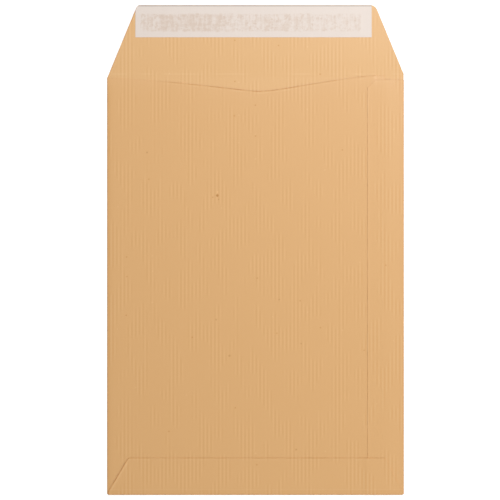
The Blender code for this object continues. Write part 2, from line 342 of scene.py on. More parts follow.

# Tone of the strip at its cut edges, and painted shade along its upper edge, which turns from the
# light
STRIP_CLOUD_TONE = 0.02
STRIP_EDGE_TONE = -0.10
STRIP_EDGE_WIDTH = 0.35 * MM
STRIP_TOP_SHADE_TONE = -0.34
STRIP_TOP_WIDTH = 1.6 * MM

# How uneven the films of glue are
GLUE_TONE = 0.10


def smooth(value, low, high):
    """0 below low, 1 above high, and a smooth rise between them."""
    part = np.clip((value - low) / (high - low), 0, 1)
    return part * part * (3 - 2 * part)


# Shape of the paper

def bezier_height(x, start, first, last, end):
    """Height of a cubic curve at x, for a curve whose x only grows."""
    t = np.linspace(0, 1, 200)
    weights = ((1 - t) ** 3, 3 * t * (1 - t) ** 2, 3 * t * t * (1 - t), t ** 3)
    points = (start, first, last, end)
    across = sum(w * p[0] for w, p in zip(weights, points))
    up = sum(w * p[1] for w, p in zip(weights, points))
    return np.interp(x, across, up)


def throat_height(x):
    """The open edge of the wide back panel."""
    low = (THROAT_LOW_X, SCORE - THROAT_LOW_DROP)
    left = (LEFT_FOLD, LEFT_SHOULDER)
    right = (BACK_EDGE, SCORE - THROAT_RIGHT_DROP)
    left_arm = bezier_height(
        x,
        left,
        (left[0] + THROAT_LEFT_HANDLE, left[1] - THROAT_LEFT_HANDLE * THROAT_LEFT_SLOPE),
        (low[0] - THROAT_LOW_LEFT_HANDLE, low[1]),
        low,
    )
    right_arm = bezier_height(
        x,
        low,
        (low[0] + THROAT_LOW_RIGHT_HANDLE, low[1]),
        (right[0] - THROAT_RIGHT_HANDLE, right[1]),
        right,
    )
    return np.where(x < low[0], left_arm, right_arm)


def flap_side_height(distance, shoulder, radius):
    """Height of the seal flap's outline at a distance in from one of its shoulders."""
    line = shoulder + distance / math.tan(FLAP_SLOPE)
    centre_y = TOP - radius
    centre = (centre_y - shoulder) * math.tan(FLAP_SLOPE) + radius / math.cos(FLAP_SLOPE)
    across = np.clip(distance - centre, -radius, 0)
    arc = centre_y + np.sqrt(np.maximum(radius ** 2 - across ** 2, 0))
    on_arc = distance > centre - radius * math.cos(FLAP_SLOPE)
    return np.maximum(np.where(on_arc, arc, line), shoulder)


def flap_height(x):
    """Upper outline of the front panel and the seal flap."""
    from_left = x - (LEFT + LEFT_SHOULDER_INSET)
    from_right = (RIGHT - RIGHT_SHOULDER_INSET) - x
    left = flap_side_height(from_left, LEFT_SHOULDER, LEFT_CORNER_RADIUS)
    right = flap_side_height(from_right, RIGHT_SHOULDER, RIGHT_CORNER_RADIUS)
    return np.minimum(left, right)


def seam_flap_height(x):
    return np.minimum(SEAM_TOP, SEAM_TOP - SEAM_FLAP_CHAMFER + (x - SEAM_EDGE))


def bottom_flap_height(x):
    """Free edge of the bottom flap, which has short straight sides and two cut corners."""
    run = BOTTOM_FLAP_HEIGHT - BOTTOM_FLAP_SIDE
    side = BOTTOM + BOTTOM_FLAP_SIDE
    left = side + run * (x - LEFT - FOOT_INSET) / (BOTTOM_FLAP_LEFT_INSET - FOOT_INSET)
    right = side + run * (RIGHT - FOOT_INSET - x) / (BOTTOM_FLAP_RIGHT_INSET - FOOT_INSET)
    return np.minimum(BOTTOM_FLAP_EDGE, np.minimum(left, right))


def over_seam(x):
    """1 where the bottom flap lies on the seam flap, 0 where it lies on the back panel."""
    return smooth(x, SEAM_EDGE - EMBOSS_WIDTH, SEAM_EDGE - 2 * PAPER)


def over_back(x):
    """1 where the wide back panel lies below, fading to 0 beyond its hidden edge."""
    return 1 - smooth(x, BACK_EDGE + PAPER, BACK_EDGE + BACK_EDGE_FADE)


def throat_seen(x):
    """1 where the throat stands clear of the front panel, 0 where it is pressed down."""
    from_left = smooth(x, THROAT_FADE_LEFT - THROAT_FADE, THROAT_FADE_LEFT)
    return from_left * (1 - smooth(x, THROAT_FADE_RIGHT, THROAT_FADE_RIGHT + THROAT_FADE_OUT))


def front_z(x, y):
    """Middle of the front ply, which lies on the surface and is never quite flat."""
    waves = sum(share * np.sin(x * across + y * up + turn) for across, up, turn, share in WAVES)
    wave = WAVE_HEIGHT * (0.5 + WAVE_SHARE * waves)
    ribs = RIB_HEIGHT * (1 + np.cos(2 * math.pi * (x - LEFT_FOLD) / RIB_PITCH))
    score = SCORE_RISE * np.maximum(1 - np.abs(y - SCORE) / SCORE_HALF_WIDTH, 0)
    spring = FLAP_SPRING * (1 - np.exp(-np.maximum(y - SCORE, 0) / FLAP_SPRING_REACH))
    return PAPER / 2 + wave + ribs + score + spring


def pocket_pitch(x, y):
    """Distance from the front ply up to the wide back panel."""
    from_left = np.maximum(x - LEFT_FOLD, 0)
    from_right = np.maximum(RIGHT_FOLD - x, 0)
    from_low = np.maximum(y - SIDE_END, 0)
    opened = (
        (1 - np.exp(-from_left / LEFT_RISE))
        * (1 - np.exp(-from_right / RIGHT_RISE))
        * (1 - np.exp(-from_low / LOW_RISE))
    )
    arch = np.sin(math.pi * np.clip((x - LEFT_FOLD) / (RIGHT_FOLD - LEFT_FOLD), 0, 1))
    fill = LOW_FILL + (1 - LOW_FILL) * smooth(y, BOTTOM, BOTTOM + 0.5 * (SCORE - BOTTOM))
    from_throat = np.maximum(throat_height(x) - y, 0)
    spread = opened * (1 - THROAT_REST * np.exp(-from_throat / THROAT_REST_REACH))
    lip = THROAT_LIP * arch * np.exp(-from_throat / THROAT_LIP_REACH)
    loose = CREASE_PITCH + (BODY_PITCH - CREASE_PITCH + CROWN * arch * fill) * spread + lip
    pressed = (1 - throat_seen(x)) * opened * np.exp(-from_throat / THROAT_PRESS_REACH)
    return loose + (PRESSED_PITCH - loose) * pressed


def back_z(x, y):
    return front_z(x, y) + pocket_pitch(x, y)


def seam_z(x, y):
    """The seam flap lies on the back panel, and its free edge stands up a little."""
    above_flap = smooth(y, BOTTOM_FLAP_EDGE + MM, BOTTOM_FLAP_EDGE + SEAM_LIP_FADE)
    lip = SEAM_LIP * above_flap * np.exp(-np.maximum(x - SEAM_EDGE, 0) / SEAM_LIP_REACH)
    return back_z(x, y) + GLUED_PITCH * over_back(x) + lip


def bottom_flap_z(x, y):
    """The bottom flap is glued along its middle, and its loose corners stand up a little."""
    glued = back_z(x, y) + GLUED_PITCH * (1 + over_seam(x) * over_back(x))
    from_edge = np.maximum(bottom_flap_height(x) - y, 0)
    corner = LEFT + BOTTOM_FLAP_LEFT_INSET
    cut_corner = 1 - smooth(x, corner - CORNER_LIP_FADE, corner)
    clear_of_fold = smooth(y, BOTTOM + CORNER_LIP_LOW, BOTTOM + CORNER_LIP_CLEAR)
    lip = FLAP_LIP * np.exp(-from_edge / FLAP_LIP_REACH)
    corner_lip = CORNER_LIP * cut_corner * clear_of_fold * np.exp(-from_edge / CORNER_LIP_REACH)
    return glued + lip + corner_lip


def bottom_radius(x):
    """Mid radius of the bottom crease, which holds one or two glued plies more."""
    return (CREASE_PITCH + GLUED_PITCH * (1 + over_seam(x) * over_back(x))) / 2


def bottom_fold_line(x):
    return BOTTOM + PAPER / 2 + bottom_radius(x)


# How strongly each cut edge shows, from the photo

# Each of these gives the strength of the painted shade along one cut edge.
def throat_edge_shade(x):
    on_arm = smooth(np.abs(x - THROAT_LOW_X), THROAT_ARM_START, THROAT_ARM_FULL)
    return throat_seen(x) * (THROAT_LOW_SHADE + (THROAT_ARM_SHADE - THROAT_LOW_SHADE) * on_arm)


def seam_edge_shade(x):
    past_side = smooth(x, SEAM_EDGE + CUT_EDGE, SEAM_EDGE + 2 * CUT_EDGE)
    past_end = smooth(x, BACK_EDGE, BACK_EDGE + SEAM_END_FADE)
    return 1 - (1 - SEAM_CHAMFER_SHADE) * past_side - SEAM_CHAMFER_SHADE * past_end


def bottom_flap_edge_shade(x):
    left = LEFT + BOTTOM_FLAP_LEFT_INSET
    right = RIGHT - BOTTOM_FLAP_RIGHT_INSET
    at_left = 1 - smooth(x, left - EDGE_SHADE_FADE, left + EDGE_SHADE_FADE)
    at_right = smooth(x, right - EDGE_SHADE_FADE, right + EDGE_SHADE_FADE)
    return BOTTOM_EDGE_SHADE * (1 - at_right) + (LEFT_CORNER_SHADE - BOTTOM_EDGE_SHADE) * at_left


def seal_flap_edge_shade(x):
    return np.where(x < 0, FLAP_LEFT_SHADE, FLAP_RIGHT_SHADE)


def fold_shade(x, y):
    """Painted shade on the pressed folds: strong at the left and the bottom, weak at the right."""
    left = LEFT_FOLD_SHADE * np.exp(-np.maximum(x - LEFT, 0) / CREASE_REACH)
    right = RIGHT_FOLD_SHADE * np.exp(-np.maximum(RIGHT - x, 0) / CREASE_REACH)
    low = BOTTOM_FOLD_SHADE * np.exp(-np.maximum(y - BOTTOM, 0) / CREASE_REACH)
    return np.maximum.reduce([left, right, low])


# Mesh building

def spaced(low, high, step):
    return np.linspace(low, high, max(2, math.ceil((high - low) / step) + 1))


def body_rows():
    """Heights of the mesh rows, closer together at the creases and along the throat."""
    throat_low = SCORE - THROAT_LOW_DROP - THROAT_REST_REACH
    parts = (
        [BOTTOM, SIDE_END],
        SIDE_END + MM * np.array(ROWS_FROM_FOLD),
        spaced(SIDE_END + NEXT_ROW_FROM_FOLD, BOTTOM_FLAP_EDGE, BOTTOM_FLAP_ROW),
        spaced(BOTTOM_FLAP_EDGE, throat_low, BODY_ROW),
        spaced(throat_low, SEAM_TOP - SEAM_FLAP_CHAMFER, THROAT_ROW),
        spaced(SEAM_TOP - SEAM_FLAP_CHAMFER, SEAM_TOP, FINE_ROW),
        spaced(SEAM_TOP, SCORE - SCORE_HALF_WIDTH, FINE_ROW),
        [SCORE - SCORE_HALF_WIDTH, SCORE, SCORE + SCORE_HALF_WIDTH],
        spaced(SCORE + SCORE_HALF_WIDTH, TOP - RIGHT_CORNER_RADIUS, SEAL_FLAP_ROW),
        spaced(TOP - RIGHT_CORNER_RADIUS, TOP, FINE_ROW),
    )
    return np.unique(np.round(np.concatenate(parts), 7))


def body_columns():
    """Mesh columns across the sheet: four to a rib, and closer together at the side creases."""
    edge = MM * np.array(COLUMNS_FROM_FOLD)
    inner = np.arange(LEFT_FOLD + COLUMN, RIGHT_FOLD - COLUMN / 2, COLUMN)
    marks = [
        LEFT + FOOT_INSET,
        SEAM_EDGE,
        SEAM_EDGE + CUT_EDGE,
        SEAM_EDGE + SEAM_FLAP_CHAMFER,
        BACK_EDGE - CUT_EDGE,
        BACK_EDGE,
        RIGHT - FOOT_INSET,
    ]
    keep = [x for x in inner if min(abs(x - mark) for mark in marks) > COLUMN / 3]
    return np.unique(np.round(np.concatenate([LEFT_FOLD + edge, keep, RIGHT_FOLD - edge, marks]), 7))


def new_sheet():
    """An empty sheet whose points can say where they lie on the paper."""
    bm = bmesh.new()
    bm.verts.layers.float_vector.new("outward")
    for name in MARKS:
        bm.verts.layers.float.new(name)
    return bm


def add_grid(bm, points, outward, marks):
    """Quads over an array of points; outward is the paper's normal at each point."""
    layers = bm.verts.layers
    normals = layers.float_vector["outward"]
    rows, columns = points.shape[:2]
    made = []
    for i in range(rows):
        line = []
        for j in range(columns):
            vert = bm.verts.new(points[i, j])
            vert[normals] = outward[i, j]
            for name, values in marks.items():
                vert[layers.float[name]] = values[i, j]
            line.append(vert)
        made.append(line)
    for low, high in zip(made, made[1:]):
        for j in range(columns - 1):
            bm.faces.new((low[j], low[j + 1], high[j + 1], high[j]))


def edge_step(x, outline):
    """Vertical step that stays one cut edge's width inside a sloping outline."""
    slope = np.gradient(outline, x)
    return CUT_EDGE * np.sqrt(1 + np.minimum(slope ** 2, 9))


def ply_heights(x, rows, low, top):
    """Heights of a ply's points, with a narrow row along its low and top outlines."""
    room = (top - low) / 3
    low_step = np.minimum(edge_step(x, low), room)
    top_step = np.minimum(edge_step(x, top), room)
    up = np.repeat(np.concatenate([rows[:1], rows, rows[-1:]])[:, None], len(x), axis=1)
    up = np.clip(up, low + low_step, top - top_step)
    up[0], up[-1] = low, top
    return up


def rim_distance(x, up, cuts):
    """Distance of each point of a ply from the nearest of its cut sides."""
    across = np.repeat(x[None, :], len(up), axis=0)
    away = {
        "low": (up - up[0]) / np.hypot(1, np.gradient(up[0], x)),
        "top": (up[-1] - up) / np.hypot(1, np.gradient(up[-1], x)),
        "left": across - x[0],
        "right": x[-1] - across,
    }
    return np.minimum.reduce([away[side] for side in cuts])


def add_ply(bm, x, up, height, cuts, edge_shade=np.ones_like, turned_over=False):
    """One flat ply: columns at x, heights up, and the named sides cut rather than folded."""
    across = np.repeat(x[None, :], len(up), axis=0)
    points = np.stack([across, up, height(across, up)], axis=-1)
    outward = np.zeros_like(points)
    outward[..., 2] = -1 if turned_over else 1
    # crease and cut carry the strength of the painted shade at the folds and at the cut edges
    marks = {"crease": fold_shade(across, up), "cut": edge_shade(across), "rim": rim_distance(x, up, cuts)}
    add_grid(bm, points, outward, marks)


def crease_marks(x, y):
    """Marks of a fold: its painted shade, and no cut edge near it."""
    return {"crease": fold_shade(x, y), "cut": np.zeros_like(x), "rim": np.full_like(x, FAR)}


def add_side_crease(bm, fold_x, outward_x, front_up, carried_up):
    """Half a turn of paper along a side, from the front ply to the ply that it carries."""
    angles = np.linspace(0, math.pi, CREASE_STEPS + 1)
    share = (angles / math.pi)[None, :]
    y = front_up[:, None] * (1 - share) + carried_up[:, None] * share
    angle = np.repeat(angles[None, :], len(y), axis=0)
    base = front_z(np.full_like(y, fold_x), y)
    x = fold_x + outward_x * CREASE_RADIUS * np.sin(angle)
    z = base + CREASE_RADIUS * (1 - np.cos(angle))
    outward = np.stack([outward_x * np.sin(angle), np.zeros_like(y), -np.cos(angle)], axis=-1)
    add_grid(bm, np.stack([x, y, z], axis=-1), outward, crease_marks(x, y))


def add_bottom_crease(bm, x):
    """Half a turn of paper along the bottom, from the front ply to the bottom flap."""
    angles = np.linspace(0, math.pi, CREASE_STEPS + 1)
    across, angle = np.meshgrid(x, angles)
    radius = bottom_radius(across)
    line = bottom_fold_line(across)
    y = line - radius * np.sin(angle)
    z = front_z(across, line) + radius * (1 - np.cos(angle))
    outward = np.stack([np.zeros_like(y), -np.sin(angle), -np.cos(angle)], axis=-1)
    add_grid(bm, np.stack([across, y, z], axis=-1), outward, crease_marks(across, y))


def thicken(bm, thickness):
    """Close an open sheet into a solid of even thickness, half on each side."""
    normals = bm.verts.layers.float_vector["outward"]
    inner = bm.verts.layers.float["inner"]
    bmesh.ops.remove_doubles(bm, verts=bm.verts, dist=MERGE)
    bmesh.ops.dissolve_degenerate(bm, dist=MERGE / 2, edges=bm.edges)
    under = list(bm.verts)
    made = bmesh.ops.extrude_face_region(bm, geom=list(bm.faces))
    over = [item for item in made["geom"] if isinstance(item, bmesh.types.BMVert)]
    for verts, side in ((under, -1), (over, 1)):
        for vert in verts:
            vert[inner] = (1 - side) / 2
            vert.co += vert[normals].normalized() * side * thickness / 2
    bmesh.ops.recalc_face_normals(bm, faces=bm.faces)


def finish_piece(name, bm, look, node):
    """Make the piece, let it ride with the body and stand for its CAD node."""
    mesh = bpy.data.meshes.new(name)
    bm.to_mesh(mesh)
    bm.free()
    mesh.materials.append(look)
    mesh.shade_smooth()
    mesh.set_sharp_from_angle(angle=SHARP_ANGLE)
    piece = bpy.data.objects.new(name, mesh)
    bpy.context.scene.collection.objects.link(piece)
    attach(piece, "root")
    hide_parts(node)
    return piece


def make_paper(look):
    bm = new_sheet()
    rows = body_rows()
    x = body_columns()
    foot = (x >= LEFT + FOOT_INSET - MERGE) & (x <= RIGHT - FOOT_INSET + MERGE)
    low = np.where(foot, bottom_fold_line(x), SIDE_END)
    front_up = ply_heights(x, rows, low, flap_height(x))
    add_ply(bm, x, front_up, front_z, ("top",), seal_flap_edge_shade, turned_over=True)

    back_x = x[x <= BACK_EDGE + MERGE]
    back_up = ply_heights(back_x, rows, np.full_like(back_x, SIDE_END), throat_height(back_x))
    add_ply(bm, back_x, back_up, back_z, ("low", "top", "right"), throat_edge_shade)
    add_side_crease(bm, LEFT_FOLD, -1, front_up[:, 0], back_up[:, 0])

    seam_x = x[x >= SEAM_EDGE - MERGE]
    seam_up = ply_heights(seam_x, rows, np.full_like(seam_x, SIDE_END), seam_flap_height(seam_x))
    add_ply(bm, seam_x, seam_up, seam_z, ("low", "top", "left"), seam_edge_shade)
    add_side_crease(bm, RIGHT_FOLD, 1, np.minimum(front_up[:, -1], SEAM_TOP), seam_up[:, -1])

    foot_x = x[foot]
    add_bottom_crease(bm, foot_x)
    flap_rows = rows[rows <= BOTTOM_FLAP_EDGE + MERGE]
    fold = bottom_fold_line(foot_x)
    edge = np.maximum(bottom_flap_height(foot_x), fold)
    flap_up = ply_heights(foot_x, flap_rows, fold, edge)
    add_ply(bm, foot_x, flap_up, bottom_flap_z, ("top", "left", "right"), bottom_flap_edge_shade)
    thicken(bm, PAPER)
    return finish_piece("folded_kraft_paper", bm, look, "kraft_sheet")


def film_piece(name, x, rows, top, height, thickness, look, node):
    """A thin film or strip between two edges, at the middle height that height gives."""
    bm = new_sheet()
    up = ply_heights(x, rows, np.full_like(x, rows[0]), top)
    add_ply(bm, x, up, height, ("low", "top", "left", "right"))
    thicken(bm, thickness)
    return finish_piece(name, bm, look, node)


def adhesive_z(x, y):
    return front_z(x, y) + PAPER / 2 + FILM_GAP + ADHESIVE_FILM / 2


def strip_z(x, y):
    """The strip lies on the adhesive and droops a little past its edges."""
    past = np.maximum.reduce([
        band_low.x - x, x - band_high.x, band_low.y - y, y - band_high.y, np.zeros_like(x),
    ])
    droop = STRIP_DROOP * smooth(past, 0, STRIP_DROOP_REACH)
    on_band = front_z(x, y) + PAPER / 2 + 2 * FILM_GAP + ADHESIVE_FILM + STRIP_THICKNESS / 2
    return on_band - droop


def film_columns(low, high):
    return np.concatenate([[low], spaced(low + CUT_EDGE, high - CUT_EDGE, COLUMN), [high]])


def rows_between(low, high):
    """The rows of the paper between two heights, so that a film follows the paper exactly."""
    rows = body_rows()
    inside = rows[(rows > low + MERGE) & (rows < high - MERGE)]
    return np.concatenate([[low], inside, [high]])


def make_strip(look):
    x = film_columns(strip_low.x, strip_high.x)
    rows = spaced(strip_low.y, strip_high.y, FINE_ROW)
    top = np.minimum(strip_high.y, flap_height(x) - STRIP_TRIM)
    return film_piece(
        "release_liner", x, rows, top, strip_z, STRIP_THICKNESS, look, "release_strip"
    )


def make_adhesive(look):
    x = film_columns(band_low.x, band_high.x)
    rows = spaced(band_low.y, band_high.y, FINE_ROW)
    top = np.full_like(x, band_high.y)
    return film_piece(
        "adhesive_band", x, rows, top, adhesive_z, ADHESIVE_FILM, look, "seal_adhesive"
    )


def make_seam_glue(look):
    x = film_columns(seam_glue_low.x, seam_glue_high.x)
    rows = rows_between(seam_glue_low.y, seam_glue_high.y)
    top = np.full_like(x, seam_glue_high.y)

    def height(across, up):
        return back_z(across, up) + GLUED_PITCH / 2

    return film_piece(
        "seam_glue_line", x, rows, top, height, GLUE_FILM, look, "side_seam_glue"
    )


def make_bottom_glue(look):
    x = film_columns(bottom_glue_low.x, bottom_glue_high.x)
    rows = spaced(bottom_glue_low.y, bottom_glue_high.y, GLUE_ROW)
    top = np.full_like(x, bottom_glue_high.y)

    def height(across, up):
        return bottom_flap_z(across, up) - GLUED_PITCH / 2

    return film_piece(
        "bottom_glue_line", x, rows, top, height, GLUE_FILM, look, "bottom_flap_glue"
    )


# Materials

class Nodes:
    """Short ways to add nodes to one material."""

    def __init__(self, name):
        self.material = bpy.data.materials.new(name)
        self.material.use_nodes = True
        self.tree = self.material.node_tree
        self.shader = self.tree.nodes["Principled BSDF"]

    def add(self, kind, links=(), **settings):
        node = self.tree.nodes.new(kind)
        for key, value in settings.items():
            setattr(node, key, value)
        for name, value in links:
            self.put(node.inputs[name], value)
        return node

    def put(self, socket, value):
        """Link another node's output to a socket, or set the socket to a constant."""
        if isinstance(value, bpy.types.NodeSocket):
            self.tree.links.new(value, socket)
        else:
            socket.default_value = value

    def math(self, operation, *values):
        return self.add("ShaderNodeMath", enumerate(values), operation=operation).outputs[0]

    def place(self):
        return self.add("ShaderNodeTexCoord").outputs["Object"]

    def stretched(self, scale):
        return self.add("ShaderNodeMapping", [("Vector", self.place()), ("Scale", scale)]).outputs[0]

    def noise(self, pattern, detail, roughness=0.5):
        """Noise between 0 and 1; a pattern is features per metre along x, y and z."""
        links = [("Vector", self.stretched(pattern)), ("Scale", 1.0)]
        links += [("Detail", detail), ("Roughness", roughness)]
        return self.add("ShaderNodeTexNoise", links).outputs["Fac"]

    def ramp(self, value, low, high, from_value=0.0, to_value=1.0):
        """A smooth step of value from low to high."""
        links = [("Value", value), ("From Min", low), ("From Max", high)]
        links += [("To Min", from_value), ("To Max", to_value)]
        made = self.add("ShaderNodeMapRange", links, interpolation_type="SMOOTHSTEP")
        return made.outputs["Result"]

    def line(self, place, centre, half_width):
        """1 on a straight line across the sheet, and 0 past its half width."""
        away = self.math("ABSOLUTE", self.math("SUBTRACT", place, centre))
        return self.ramp(away, half_width, 0.0)

    def mark(self, name):
        """How strongly a point of the sheet carries one of its marks."""
        return self.add("ShaderNodeAttribute", attribute_name=name).outputs["Fac"]

    def sum(self, *values):
        total = values[0]
        for value in values[1:]:
            total = self.math("ADD", total, value)
        return total

    def product(self, *values):
        total = values[0]
        for value in values[1:]:
            total = self.math("MULTIPLY", total, value)
        return total

    def vector(self, operation, *values):
        """A node that works on vectors, such as places or colours."""
        return self.add("ShaderNodeVectorMath", enumerate(values), operation=operation)

    def scaled(self, vector, factor):
        node = self.add("ShaderNodeVectorMath", [(0, vector), ("Scale", factor)], operation="SCALE")
        return node.outputs["Vector"]

    def about_zero(self, value, size):
        """A 0 to 1 value turned into one from minus size to plus size."""
        return self.math("MULTIPLY", self.math("SUBTRACT", value, 0.5), 2 * size)

    def shade(self, colour, factor, share):
        """A colour scaled by a factor, of which each channel takes its own share."""
        change = self.math("SUBTRACT", factor, 1.0)
        scale = self.vector("MULTIPLY_ADD", share, change, (1, 1, 1)).outputs["Vector"]
        kept = self.vector("MAXIMUM", scale, DARKEST_SHADE).outputs["Vector"]
        return self.vector("MULTIPLY", colour, kept).outputs["Vector"]

    def mix(self, factor, first, second):
        """The first colour where the factor is 0, and the second where it is 1."""
        links = ((0, factor), (6, first), (7, second))
        return self.add("ShaderNodeMix", links, data_type="RGBA").outputs[2]

    def set(self, name, value):
        """Set or link one of the shader's own inputs."""
        self.put(self.shader.inputs[name], value)

    def set_sheen(self, pattern, spread, roughness):
        """Roughness that varies over the surface by a spread to each side."""
        self.set("Roughness", self.sum(self.about_zero(self.noise(*pattern), spread), roughness))

    def bump(self, height, distance, strength):
        links = [("Height", height), ("Distance", distance), ("Strength", strength)]
        self.set("Normal", self.add("ShaderNodeBump", links).outputs["Normal"])


def ragged_place(nodes, size):
    """Places moved a little to and fro, for marks of a size with an uneven outline."""
    links = [("Vector", nodes.place()), ("Scale", RAGGED_SCALE), ("Detail", 1.0)]
    wobble = nodes.add("ShaderNodeTexNoise", links)
    shift = nodes.scaled(wobble.outputs["Color"], RAGGED_SHARE * size)
    return nodes.vector("ADD", nodes.place(), shift).outputs["Vector"]


def bark_flecks(nodes, up):
    """Tone at each fleck of bark, and 1 elsewhere; the flecks are in the upper plies alone."""
    upper = nodes.ramp(up, FLECK_LOW, FLECK_CLEAR)
    total = 1.0
    for across, along, size, change in BARK_FLECKS:
        flat = nodes.vector("MULTIPLY", ragged_place(nodes, size), (1, 1, 0)).outputs["Vector"]
        away = nodes.vector("DISTANCE", flat, (across, along, 0)).outputs["Value"]
        inside = nodes.product(nodes.ramp(away, size, SOLID_SHARE * size), upper)
        total = nodes.math("MULTIPLY_ADD", inside, change, total)
    return total


def specks(nodes, per_metre, size, share):
    """Small round marks, one in each of some cells: 1 inside a mark and 0 outside."""
    cells = nodes.add(
        "ShaderNodeTexVoronoi",
        [("Vector", ragged_place(nodes, size)), ("Scale", per_metre)],
        voronoi_dimensions="2D",
        feature="F1",
    )
    inside = nodes.ramp(cells.outputs["Distance"], size * per_metre, SOLID_SHARE * size * per_metre)
    red = nodes.add("ShaderNodeSeparateColor", [("Color", cells.outputs["Color"])]).outputs[0]
    return nodes.product(inside, nodes.math("LESS_THAN", red, share))


def cut_edge_tone(nodes):
    """Painted shadow in a thin line along each cut edge, and a painted highlight inside it on the
    outer side, where the edge's lip turns to the light.
    """
    rim = nodes.mark("rim")
    # Painted shadow along the cut edge, and a painted highlight on the edge's lip
    dark = nodes.product(nodes.ramp(rim, CUT_LINE_END, CUT_LINE_FULL), CUT_SHADE_TONE)
    from_line = nodes.ramp(rim, CUT_LINE_END, LIP_HIGHLIGHT_START)
    to_paper = nodes.ramp(rim, LIP_HIGHLIGHT_END, LIP_HIGHLIGHT_FULL)
    outer = nodes.math("SUBTRACT", 1.0, nodes.mark("inner"))
    lip_highlight = nodes.product(from_line, to_paper, outer, LIP_HIGHLIGHT_TONE)
    uneven = nodes.ramp(nodes.noise(*EDGE_PATCHES), *EDGE_PATCH_LEVELS)
    return nodes.product(nodes.mark("cut"), uneven, nodes.sum(dark, lip_highlight))


def rib_tone(nodes, across):
    """Ribs along the sheet, stronger in some patches than in others."""
    turn = nodes.product(nodes.math("SUBTRACT", across, LEFT_FOLD), 2 * math.pi / RIB_PITCH)
    patchy = nodes.ramp(nodes.noise(*RIB_PATCHES), *RIB_PATCH_LEVELS)
    strength = nodes.math("MULTIPLY_ADD", patchy, RIB_TONE, LEAST_RIB_TONE)
    return nodes.product(nodes.math("COSINE", turn), strength)


def fold_tone(nodes, along):
    """Painted shade along the pressed folds, a painted highlight beside the score, and a painted
    highlight and a painted shade line above the bottom fold.
    """
    uneven = nodes.ramp(nodes.noise(*FOLD_PATCHES), *FOLD_PATCH_LEVELS)
    # Painted shade along the folds
    pressed = nodes.product(nodes.mark("crease"), uneven, FOLD_SHADE_TONE)
    broken = nodes.ramp(nodes.noise(*SCORE_BREAKS), *SCORE_BREAK_LEVELS)
    # Painted highlight along the score, then a painted highlight and a painted shade line above the
    # bottom fold
    line = nodes.line(along, SCORE + SCORE_SHEEN_RISE, SCORE_SHEEN_HALF_WIDTH)
    score = nodes.product(line, broken, SCORE_HIGHLIGHT_TONE)
    ridge_highlight = nodes.product(nodes.line(along, BOTTOM + RIDGE_RISE, RIDGE_HALF_WIDTH), RIDGE_HIGHLIGHT_TONE)
    dent_shade = nodes.product(nodes.line(along, BOTTOM + DENT_RISE, RIDGE_HALF_WIDTH), DENT_SHADE_TONE)
    return nodes.sum(pressed, score, ridge_highlight, dent_shade)


def speck_tone(nodes):
    dark = nodes.product(specks(nodes, *DARK_SPECKS), DARK_SPECK_TONE)
    pale = nodes.product(specks(nodes, *PALE_SPECKS), PALE_SPECK_TONE)
    return nodes.sum(dark, pale)


def kraft_material():
    nodes = Nodes("ribbed_kraft")
    place = nodes.add("ShaderNodeSeparateXYZ", [("Vector", nodes.place())])
    cloud = nodes.about_zero(nodes.noise(*CLOUDS), CLOUD_TONE)
    fibre = nodes.about_zero(nodes.noise(*FIBRES), FIBRE_TONE)
    grain = nodes.about_zero(nodes.noise(*GRAIN), GRAIN_TONE)
    ribs = rib_tone(nodes, place.outputs["X"])
    folds = fold_tone(nodes, place.outputs["Y"])
    tone = nodes.sum(cloud, fibre, grain, ribs, folds, cut_edge_tone(nodes), speck_tone(nodes), 1.0)
    tone = nodes.math("MAXIMUM", tone, LEAST_TONE)
    both_sides = nodes.mix(nodes.mark("inner"), (*KRAFT, 1), (*KRAFT_INNER, 1))
    paper = nodes.shade(both_sides, tone, KRAFT_SHADE)
    nodes.set("Base Color", nodes.shade(paper, bark_flecks(nodes, place.outputs["Z"]), BARK_SHADE))
    nodes.set_sheen(KRAFT_SHEEN, KRAFT_ROUGHNESS_SPREAD, KRAFT_ROUGHNESS)
    nodes.set("Specular IOR Level", KRAFT_SPECULAR)
    nodes.bump(nodes.sum(fibre, nodes.product(grain, GRAIN_RELIEF)), *KRAFT_RELIEF)
    return nodes.material


def band_mask(nodes, place):
    """1 over the adhesive band and 0 past it, with a soft ragged edge."""
    ragged = nodes.about_zero(nodes.noise(*BAND_EDGE), BAND_RAGGED)
    sides = []
    for axis, low, high in (("X", band_low.x, band_high.x), ("Y", band_low.y, band_high.y)):
        middle, half = (low + high) / 2, (high - low) / 2
        away = nodes.math("ABSOLUTE", nodes.math("SUBTRACT", place.outputs[axis], middle))
        sides.append(nodes.ramp(nodes.math("ADD", away, ragged), half + BAND_SOFT, half - BAND_SOFT))
    return nodes.product(*sides)


def wetness(nodes, place):
    """How strongly the adhesive wets the strip from below, in blotches and streaks."""
    x = place.outputs["X"]
    start = band_low.x
    blotch = nodes.ramp(nodes.noise(*BLOTCHES), *BLOTCH_LEVELS)
    streak = nodes.ramp(nodes.noise(*STREAKS), *STREAK_LEVELS)
    soaked = nodes.sum(
        nodes.ramp(x, start + LEFT_END_PAST, start + LEFT_END, WET, WET_AT_LEFT_END),
        nodes.ramp(x, start + DRIER_FROM, start + DRIER_TO, 0.0, DRIER),
        nodes.about_zero(blotch, BLOTCH),
        nodes.about_zero(streak, STREAK),
        nodes.ramp(nodes.noise(*SOAKED_SPOTS), *SOAKED_LEVELS),
        nodes.ramp(nodes.noise(*DRY_SPOTS), *DRY_LEVELS),
    )
    thinner = nodes.ramp(x, start + THINNER_FROM, band_high.x, 1.0, THINNER)
    return nodes.product(nodes.math("MAXIMUM", soaked, 0.0), thinner, band_mask(nodes, place))


